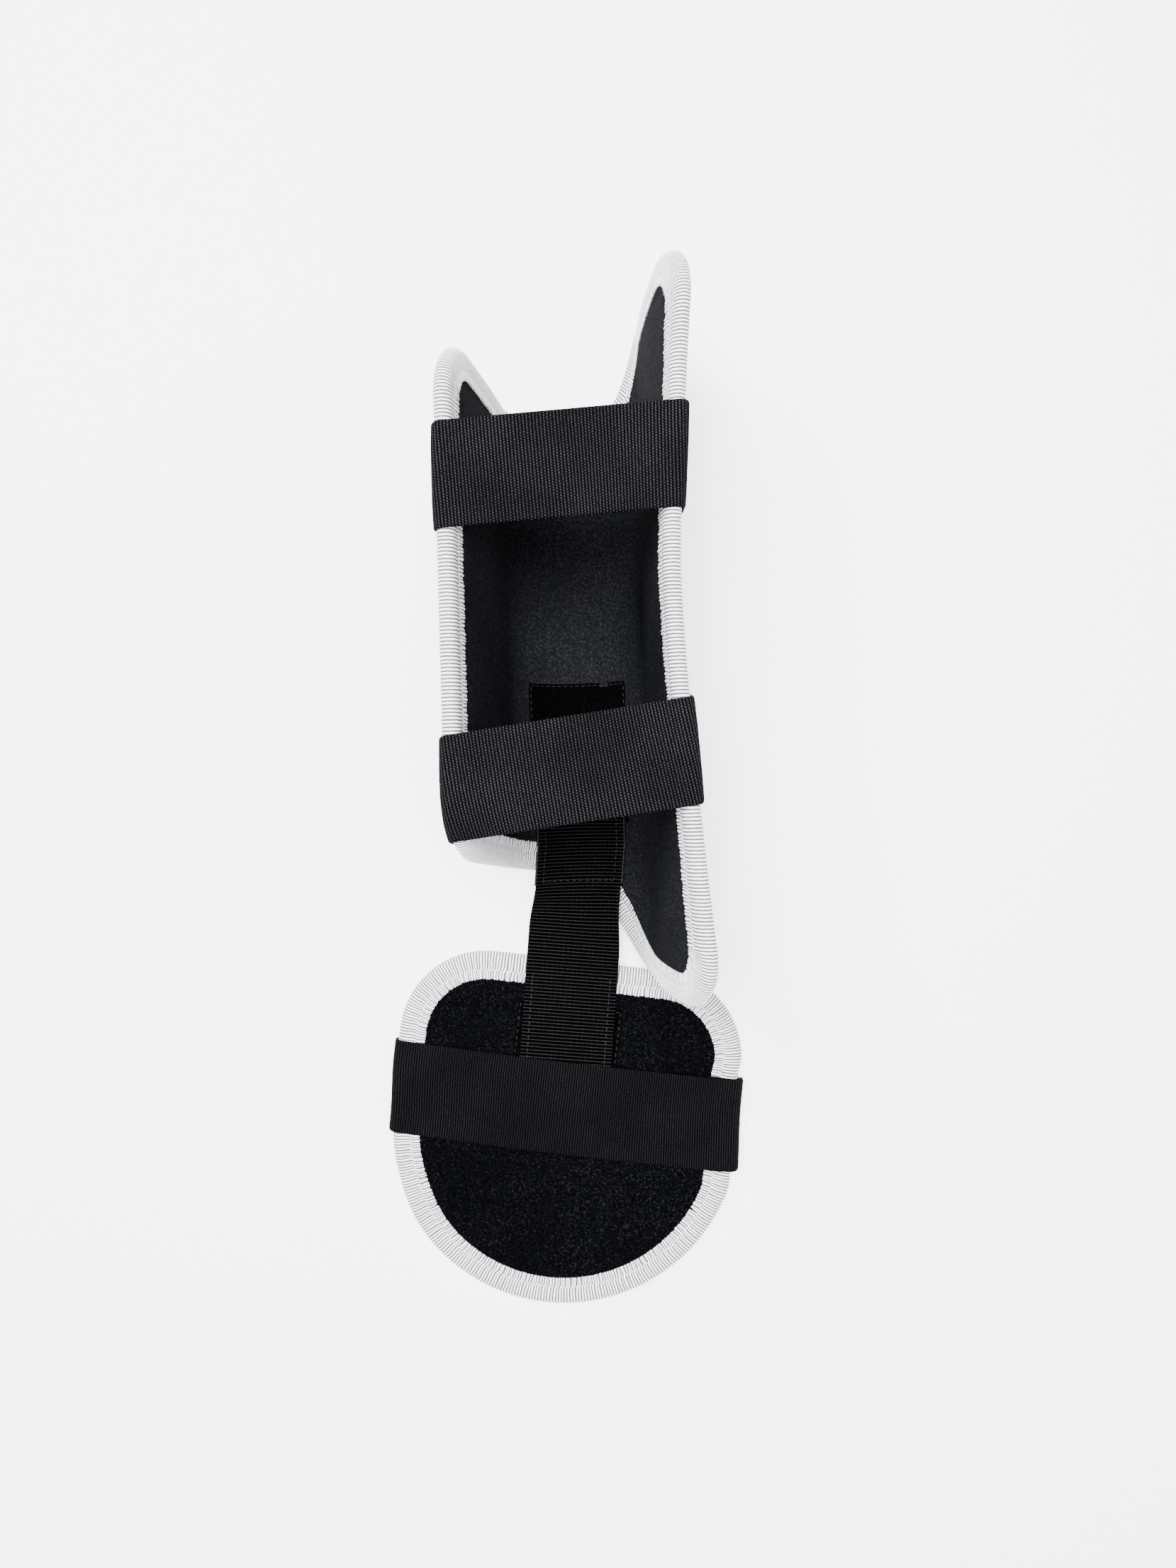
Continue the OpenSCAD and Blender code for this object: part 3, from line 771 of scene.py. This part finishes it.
def pile_cloth():
    """Loop pile: a darker, deeper tangle than the lining."""
    m = Nodes("loop_pile", 0.95, 0.01)
    place = m.place()
    tangle = m.cells(place, 1300)
    fleck = m.noise(place, 2100, 4, 0.8)
    tone = m.math("MULTIPLY", m.range(tangle, 0.0, 0.75, 1, 0.1), m.range(fleck, 0.45, 0.75, 0.1, 1.3))
    m.colour(m.ramp(tone, [(0.0, (0.0004, 0.0004, 0.0004)), (0.4, (0.0018, 0.0018, 0.0020)),
                           (1.0, (0.030, 0.030, 0.031))]))
    m.normal(m.bump(m.math("SUBTRACT", fleck, tangle), 1.0, 0.5))
    return m.material


def hook_tape():
    """Hook tape: small stiff hooks on a darker ground."""
    m = Nodes("hook_rows", 0.45, 0.2)
    place = m.place()
    dots = m.cells(place, 900)
    m.colour(m.ramp(dots, [(0.0, (0.03, 0.03, 0.031)), (0.4, (0.010, 0.010, 0.011)),
                           (0.9, (0.003, 0.003, 0.003))]))
    m.normal(m.bump(m.math("MULTIPLY", dots, -1.0), 0.9, 0.4))
    return m.material


def foam_rubber():
    m = Nodes("closed_cell_foam", 0.8, 0.2)
    cells = m.cells(m.place(), 2200)
    m.colour(m.ramp(cells, [(0.0, (0.015, 0.015, 0.016)), (0.8, (0.05, 0.05, 0.053))]))
    m.normal(m.bump(cells, 0.5, 0.15))
    return m.material


def plastic_sheet():
    m = Nodes("natural_polyethylene", 0.4, 0.4)
    haze = m.noise(m.place(), 120, 5)
    m.colour(m.ramp(haze, [(0.3, (0.72, 0.72, 0.67)), (0.7, (0.82, 0.82, 0.78))]))
    m.normal(m.bump(m.noise(m.place(), 900), 0.2, 0.1))
    return m.material


def thread_cloth(name, low, high):
    m = Nodes(name, 0.55, 0.1)
    twist = m.noise(m.place(), 2500, 2)
    m.colour(m.ramp(twist, [(0.35, low), (0.65, high)]))
    m.normal(m.bump(twist, 0.5, 0.1))
    return m.material


WHITE = binding_cloth()
# Each elastic's gap colour is painted shade between its ribs, and its light colour a painted highlight on the
# bead tops.
ELASTIC = elastic_cloth("black_elastic", 1.0, (0.0030, 0.0030, 0.0037), (0.0290, 0.0292, 0.0345),
                        (0.0004, 0.0004, 0.0005))
FINE_ELASTIC = elastic_cloth("fine_elastic", 0.8, (0.0018, 0.0018, 0.0022), (0.0125, 0.0126, 0.0146),
                             (0.0003, 0.0003, 0.0004))
WEBBING = webbing_cloth()
LINING = knit_cloth("calf_knit", (0.0036, 0.0038, 0.0047),
                    (0.0096, 0.0100, 0.0121), (0.0165, 0.0170, 0.0200), 1050)
PAD_LINING = knit_cloth("pad_knit", (0.0004, 0.0004, 0.0007),
                        (0.0018, 0.0019, 0.0026), (0.008, 0.008, 0.010), 1050)
COVER = knit_cloth("cover_knit", (0.004, 0.004, 0.0045),
                   (0.010, 0.010, 0.0115), (0.028, 0.028, 0.030), 1700)
PILE = pile_cloth()
HOOKS = hook_tape()
FOAM = foam_rubber()
STIFFENER = plastic_sheet()
WHITE_THREAD = thread_cloth("white_thread", (0.42, 0.42, 0.66), (0.80, 0.80, 0.92))
BLACK_THREAD = thread_cloth("black_thread", (0.004, 0.004, 0.0045), (0.020, 0.020, 0.022))


# ---- the two panels ---------------------------------------------------------


def panel(word, cad, place, outline, body, linings, swell, plate):
    """Lining, foam, stiffener, cover, binding and its stitching of one panel."""
    lining, cover = linings
    dress(layer(f"{word}_lining", place, outline, -HALF, LAYER - HALF, EDGE_GAP, (swell[0], 0)),
          lining, body, "lining", f"{cad}_lining")
    dress(layer(f"{word}_cover", place, outline, HALF - LAYER, HALF, EDGE_GAP, (0, swell[1])),
          cover, body, "cover", f"{cad}_cover")
    foam = layer(f"{word}_foam", place, outline, LAYER - HALF, HALF - LAYER, EDGE_GAP, spacing=4)
    dress(foam, FOAM, body, "foam", f"{cad}_foam")
    stiffener = layer(f"{word}_stiffener", place, outline, *plate, STIFF_INSET, spacing=4)
    dress(stiffener, STIFFENER, body, "stiffener", f"{cad}_insert")
    dress(binding(f"{word}_edge_binding", place, outline, 11), WHITE, body, "binding", f"{cad}_binding")
    seams = [outline_seam(place, outline, STITCH_AT, side * (FAT - 0.22)) for side in (-1, 1)]
    dress(stitches(f"{word}_binding_stitches", seams), WHITE_THREAD, body, "binding")


CALF = trough_outline()
FOOT = pad_outline()
panel("calf", "cuff", trough, CALF, "calf_cuff", (LINING, COVER), (0.45, 0.35),
      (HALF - 2 * LAYER, HALF - LAYER - 0.01))
panel("foot", "pad", pad, FOOT, "foot_pad", (PAD_LINING, COVER), (0.5, 0.2), (-0.8, 0.8))


def patch(name, place, u, y, n0, n1, border, body, node):
    """Loop patch on a sheet: a raised pile inside a flat sewn border."""
    spacing = 0.8
    rng = np.random.default_rng(7)
    us = np.linspace(u[0], u[1], int(abs(u[1] - u[0]) / spacing))[:, None]
    ys = np.linspace(y[0], y[1], int((y[1] - y[0]) / spacing))[None, :]
    us, ys = np.broadcast_arrays(us, ys)
    edge = np.minimum.reduce([np.abs(us - u[0]), np.abs(us - u[1]), ys - y[0], y[1] - ys])
    share = 0.45 + 0.55 * smooth((edge - border + 0.6) / 1.2)
    rough = rng.uniform(-0.11, 0.0, us.shape) * (share > 0.7)
    top = place(us, ys, n0 + (n1 - n0) * share * np.where(edge < 0.01, 0.55, 1) + rough * np.sign(n1 - n0))
    low = place(us, ys, n0 * np.ones_like(us))
    uv = np.stack([us, ys], -1)
    uv = np.concatenate([uv, uv[:, ::-1], uv[:, :1]], 1)
    dress(sweep(name, np.concatenate([top, low[:, ::-1]], 1), uv), PILE, body, "loop", node)

    def seam(a, w, h):
        return place(a, w, n0 + (n1 - n0) * 0.45 + h * math.copysign(1, n1 - n0))
    inset = border / 2
    lines = border_seams(seam, min(u) + inset, max(u) - inset, y[0] + inset, y[1] - inset, 0.03)
    dress(stitches(f"{name}_stitches", lines, radius=0.2), BLACK_THREAD, body, "loop")


PATCH_W = 48
PATCH_BORDER = 3.4
PATCH_SHIFT = 3         # the foot patch lies this far left of the pad's middle
CURLED_HALF = PATCH_W / 2 * FLOOR_R / (FLOOR_R - HALF)  # half the calf patch, on the sheet's middle
patch("calf_loop_patch", trough, (-CURLED_HALF, CURLED_HALF), (134, 196), -HALF, -HALF - PILE_T,
      PATCH_BORDER, "calf_cuff", "cuff_loop_patch")
patch("foot_loop_patch", pad, (-PATCH_W / 2 - PATCH_SHIFT, PATCH_W / 2 - PATCH_SHIFT), (-8.5, 55.5),
      -HALF, -HALF - PILE_T, PATCH_BORDER, "foot_pad", "pad_loop_patch")


# ---- calf straps ------------------------------------------------------------

SEWN_END = 45           # straight length below the left fold
TAIL_START = 13         # the tail is straight between these distances below the turn over the right rim
TAIL_END = 56
TURN_IN = 8             # about the length of each turn: the slant is measured between the two
ELASTIC_PITCH = 1.2
ELASTIC_RIB = 0.22


def calf_section():
    """X-Z line of a calf strap: up the left wall, over both rims and down the right wall."""
    r = FAT + STRAP_T / 2
    angle = 180 + math.degrees(LEAN[-1])
    fold = arc(rim_x(-1), RIM_Z, r, angle, 90)
    foot = fold[0] + SEWN_END * np.array([math.sin(LEAN[-1]), -math.cos(LEAN[-1])])
    turn = arc(rim_x(1) + 0.1, RIM_Z, r + AIR, 90, 0)
    wall = arc(rim_x(1) + STRAP_STAND, RIM_Z, r + AIR, 0, -math.degrees(LEAN[1]))[-1]
    down = np.array([-math.sin(LEAN[1]), -math.cos(LEAN[1])])
    tail = wall + np.array([[TAIL_START], [TAIL_END]]) * down
    return Path(np.vstack([foot, fold, turn, tail]))


SECTION = calf_section()


def calf_strap(word, left_y, right_y, tuck):
    """One elastic strap from its sewn end to its hooked tail, with its landing and hook."""
    fold_at = SEWN_END + TURN_IN
    turn_at = SECTION.length - TAIL_END - TURN_IN
    tilt = math.asin((right_y - left_y) / (turn_at - fold_at))
    middle = (fold_at + turn_at) / 2
    centre = (left_y + right_y) / 2
    surface = section_surface(SECTION, flared, centre, tilt, middle, tuck)
    body = f"{word}_strap_end"
    hinge = joint_place(f"{word}_strap_hinge")

    end = SECTION.length
    strap = tape(f"{word}_strap", surface, 0, end, STRAP_W, STRAP_T, ELASTIC_PITCH, ELASTIC_RIB, cup=0.35)
    dress(strap, ELASTIC, None, "elastic", f"{word}_strap", f"{word}_strap_sewn_end")
    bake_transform(strap)
    on_top = STRAP_T / 2 - 0.08
    sewn = box_seams(surface, *SEWN_BOX, on_top)
    dress(stitches(f"{word}_strap_sewing", sewn), BLACK_THREAD, "calf_cuff", "elastic")
    tail = [straight_seam(surface, (a, -SEWN_HALF), (a, SEWN_HALF), on_top) for a in (end - 38, end - 3)]
    dress(stitches(f"{word}_strap_tail_sewing", tail), BLACK_THREAD, body, "elastic")

    def inner_face(a, w, h):
        return surface(a, w, h - STRAP_T / 2 - 0.5)
    hook = tape(f"{word}_strap_hook", inner_face, end - 37, end - 2, STRAP_W - 4, 1.1, HOOK_PITCH, HOOK_RIB)
    dress(hook, HOOKS, body, "hook", f"{word}_strap_hook")

    landing_y = float(sum(b[1] for b in node_box(f"{word}_strap_landing")) / 2)
    rim = rim_u(1) - FAT / math.cos(LEAN[1])
    patch(f"{word}_strap_landing", trough, (rim - 15, rim - 75), (landing_y - 21, landing_y + 21),
          HALF, HALF + PILE_T, 2.0, "calf_cuff", f"{word}_strap_landing")


calf_strap("upper", 262.5, 267.5, 0.0)
calf_strap("lower", 151.1, 161.7, 0.8)


# ---- webbing ----------------------------------------------------------------

WEB_T = 1.6
WEB_Z = 10.65
WEB_TURN = math.radians(5.7)
WEB_R = FLOOR_R - HALF - 2 * PILE_T - REST_GAP - WEB_T / 2
WEB_TOP = 170
FOLD_Y = float(joint_place("ankle_bend")[1])
WEB_FOLD = WEB_TOP - FOLD_Y
WEB_LENGTH = WEB_FOLD + 76
WEB_PITCH = 1.5
WEB_RIB = 0.28
WEB_TURN_Y = 125        # below this it runs off to the left
WEB_FLAT_Y = 88         # below this it lies flat
WEB_FLATTEN = 22        # and it flattens over this length
WEB_SKEW = 0.55         # its right half flattens lower down, by this share of the distance from its middle
HOOK_REACH = 62         # the upper hook tape's lower end
HOOK_FREE = 9           # the lower one starts this far below the fold


def webbing(a, w, h):
    """Webbing surface: a runs down from its top end, curled in the trough and flat on the pad."""
    y = WEB_TOP - a
    w = -w
    angle = w / WEB_R
    middle = CUFF_X - np.maximum(WEB_TURN_Y - y, 0) * math.tan(WEB_TURN)
    curled = (middle + (WEB_R - h) * np.sin(angle), y + 0 * w, AXIS_Z - (WEB_R - h) * np.cos(angle))
    turn = WEB_TURN * smooth((WEB_TURN_Y + 5 - y) / 12)
    flat = (middle + w * np.cos(turn), y - w * np.sin(turn), WEB_Z + h + 0 * y)
    share = smooth((y - WEB_FLAT_Y + WEB_SKEW * np.maximum(w, 0)) / WEB_FLATTEN)
    return np.stack(np.broadcast_arrays(*[c * share + f * (1 - share) for c, f in zip(curled, flat)]), -1)


def connector():
    """The webbing between trough and pad, its seams and its two hook tapes."""
    fold_point = joint_place("ankle_bend")
    strip = tape("connector_webbing", webbing, 0, WEB_LENGTH, TAPE_W, WEB_T, WEB_PITCH, WEB_RIB)
    dress(strip, WEBBING, None, "webbing", "connector_upper", "connector_lower")
    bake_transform(strip)

    side = TAPE_W / 2 - 3.2
    top = WEB_T / 2 - 0.1
    cross = HOOK_REACH - 1.5
    upper = [straight_seam(webbing, (cross, -side), (cross, side), top)]
    upper += [straight_seam(webbing, (3, w), (cross, w), top) for w in (-side, side)]
    dress(stitches("connector_upper_sewing", upper), BLACK_THREAD, "webbing_upper", "webbing")
    cross = WEB_FOLD + HOOK_FREE
    lower = [straight_seam(webbing, (cross, -side), (cross, side), top)]
    lower += [straight_seam(webbing, (cross, w), (WEB_LENGTH - 3, w), top) for w in (-side, side)]
    dress(stitches("connector_lower_sewing", lower), BLACK_THREAD, "webbing_lower", "webbing")

    hooks = (("upper", 0.5, HOOK_REACH, PILE_T), ("lower", cross, WEB_LENGTH - 1, 1.0))
    for word, start, end, thick in hooks:
        def under(a, w, h, thick=thick):
            return webbing(a, w, h - WEB_T / 2 - thick / 2)
        tapes = tape(f"connector_{word}_hook", under, start, end, TAPE_W - 0.6, thick, HOOK_PITCH, HOOK_RIB)
        dress(tapes, HOOKS, f"webbing_{word}", "hook", f"connector_{word}_hook")


connector()


# ---- foot strap -------------------------------------------------------------

EDGE_X = PAD_R - FAT
PAD_TOP = PAD_MID + HALF
FOOT_PITCH = 1.1
FOOT_RIB = 0.12
WRAP_END = -14          # angle at which the strap ends, round the pad's right edge


def foot_strap():
    """Elastic strap: sewn under the pad, round its left edge, over the top and round the right."""
    r = FAT + STRAP_T / 2
    over_web = WEB_Z + WEB_T / 2 + AIR + STRAP_T / 2
    right_z = PAD_TOP + TAPE + 2 * PILE_T + REST_GAP + STRAP_T / 2
    under = Path(np.vstack([[[38, PAD_MID - r]], arc(-EDGE_X, PAD_MID, r, 270, 180)]))
    rise = [(-70, PAD_MID + r + 0.3), (-50, 10.4), (-25, over_web - 0.35), (-15, over_web)]
    across = [(15, over_web), (30, over_web - 0.3), (46, right_z + 0.2), (60, right_z), (70, right_z - 0.3)]
    wrap_r = FAT + PILE_T + 0.25 + STRAP_T / 2
    wrap = arc(EDGE_X, PAD_MID, wrap_r, 70, WRAP_END)
    top = Path(np.vstack([arc(-EDGE_X, PAD_MID, r, 180, 90), rise, across, wrap]))

    below = section_surface(under, pad_warp, FOOT_STRAP_Y)
    piece = tape("foot_strap_sewn_end", below, 0, under.length, TAPE_W, STRAP_T, FOOT_PITCH, FOOT_RIB)
    dress(piece, FINE_ELASTIC, "foot_pad", "elastic", "foot_strap_sewn_end")
    seams = []
    for ends in (SEWN_BOX, (84, 104)):
        seams += box_seams(below, *ends, STRAP_T / 2 - 0.05)
    dress(stitches("foot_strap_sewing", seams, radius=0.16), BLACK_THREAD, "foot_pad", "elastic")

    above = section_surface(top, pad_warp, FOOT_STRAP_Y)
    piece = tape("foot_strap", above, 0, top.length, TAPE_W, STRAP_T, FOOT_PITCH, FOOT_RIB, cup=0.15)
    dress(piece, FINE_ELASTIC, None, "elastic", "foot_strap")
    start, end = (pad_turned(x, FOOT_STRAP_Y, z) * MM for x, z in ((-77, 5), (-66, 11)))
    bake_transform(piece)

    hook_z = right_z - STRAP_T / 2 - PILE_T / 2
    flat = Path([(49, hook_z), (71.7, hook_z)])
    hook = tape("foot_strap_hook", section_surface(flat, pad_warp, FOOT_STRAP_Y), 0, flat.length,
                TAPE_W - 4, PILE_T - 0.05, HOOK_PITCH, HOOK_RIB)
    dress(hook, HOOKS, "foot_strap_end", "hook", "foot_strap_hook")

    low = FAT + PILE_T / 2
    edge = Path(np.vstack([[(40, PAD_MID - low)], arc(EDGE_X, PAD_MID, low, -90, 90), [(46, PAD_MID + low)]]))
    landing = section_surface(edge, pad_warp, FOOT_STRAP_Y)

    def outward(a, w, h):
        return landing(a, w, -h)
    piece = tape("foot_strap_landing", outward, 0, edge.length, TAPE_W, PILE_T, 1.0, 0.1)
    dress(piece, PILE, "foot_pad", "loop", "foot_strap_landing")


foot_strap()


# ---- stage, light and camera --------------------------------------------------


def stage():
    """A pale floor that also glows, just below the object."""
    bpy.ops.mesh.primitive_plane_add(size=12, location=(0, 0.15, -0.0002))
    floor = bpy.context.object
    floor.name = "floor"
    m = Nodes("pale_floor", 0.9, 0.1)
    m.colour(m.ramp(m.noise(m.place(), 8), [(0.0, (0.93, 0.93, 0.93)), (1.0, (0.95, 0.95, 0.95))]))
    m.shader.inputs["Emission Color"].default_value = (1, 1, 1, 1)
    m.shader.inputs["Emission Strength"].default_value = 1.3
    floor.data.materials.append(m.material)


def area_light(name, place, target, size, watts):
    """A round soft light, aimed at the target. Places and size are metres."""
    data = bpy.data.lights.new(name, "AREA")
    data.shape = "DISK"
    data.size = size
    data.energy = watts
    light = bpy.data.objects.new(name, data)
    light.location = place
    light.rotation_euler = (Vector(target) - Vector(place)).to_track_quat("-Z", "Y").to_euler()
    bpy.context.scene.collection.objects.link(light)


def lights():
    target = (0.01, 0.16, 0.03)
    area_light("top", (-0.1, 0.35, 1.3), target, 0.7, 62)
    area_light("key", (-0.6, 0.75, 1.0), target, 0.6, 26)
    area_light("fill", (0.8, 0.0, 1.3), target, 1.2, 16)
    area_light("front", (0.0, -0.7, 1.2), target, 1.0, 8)
    world = bpy.data.worlds.new("studio")
    world.use_nodes = True
    world.node_tree.nodes["Background"].inputs[0].default_value = (1, 1, 1, 1)
    world.node_tree.nodes["Background"].inputs[1].default_value = 0.6
    bpy.context.scene.world = world


def camera():
    """Almost half a metre straight above, as wide as a phone's main camera."""
    data = bpy.data.cameras.new("camera")
    data.sensor_width = 36
    data.sensor_fit = "AUTO"
    data.lens = 24.97
    data.clip_start = 0.01
    view = bpy.data.objects.new("camera", data)
    view.location = (0.0144, 0.1513, 0.4837)
    view.rotation_euler = (0, 0, math.radians(-1.5))
    bpy.context.scene.collection.objects.link(view)
    bpy.context.scene.camera = view


stage()
lights()
camera()
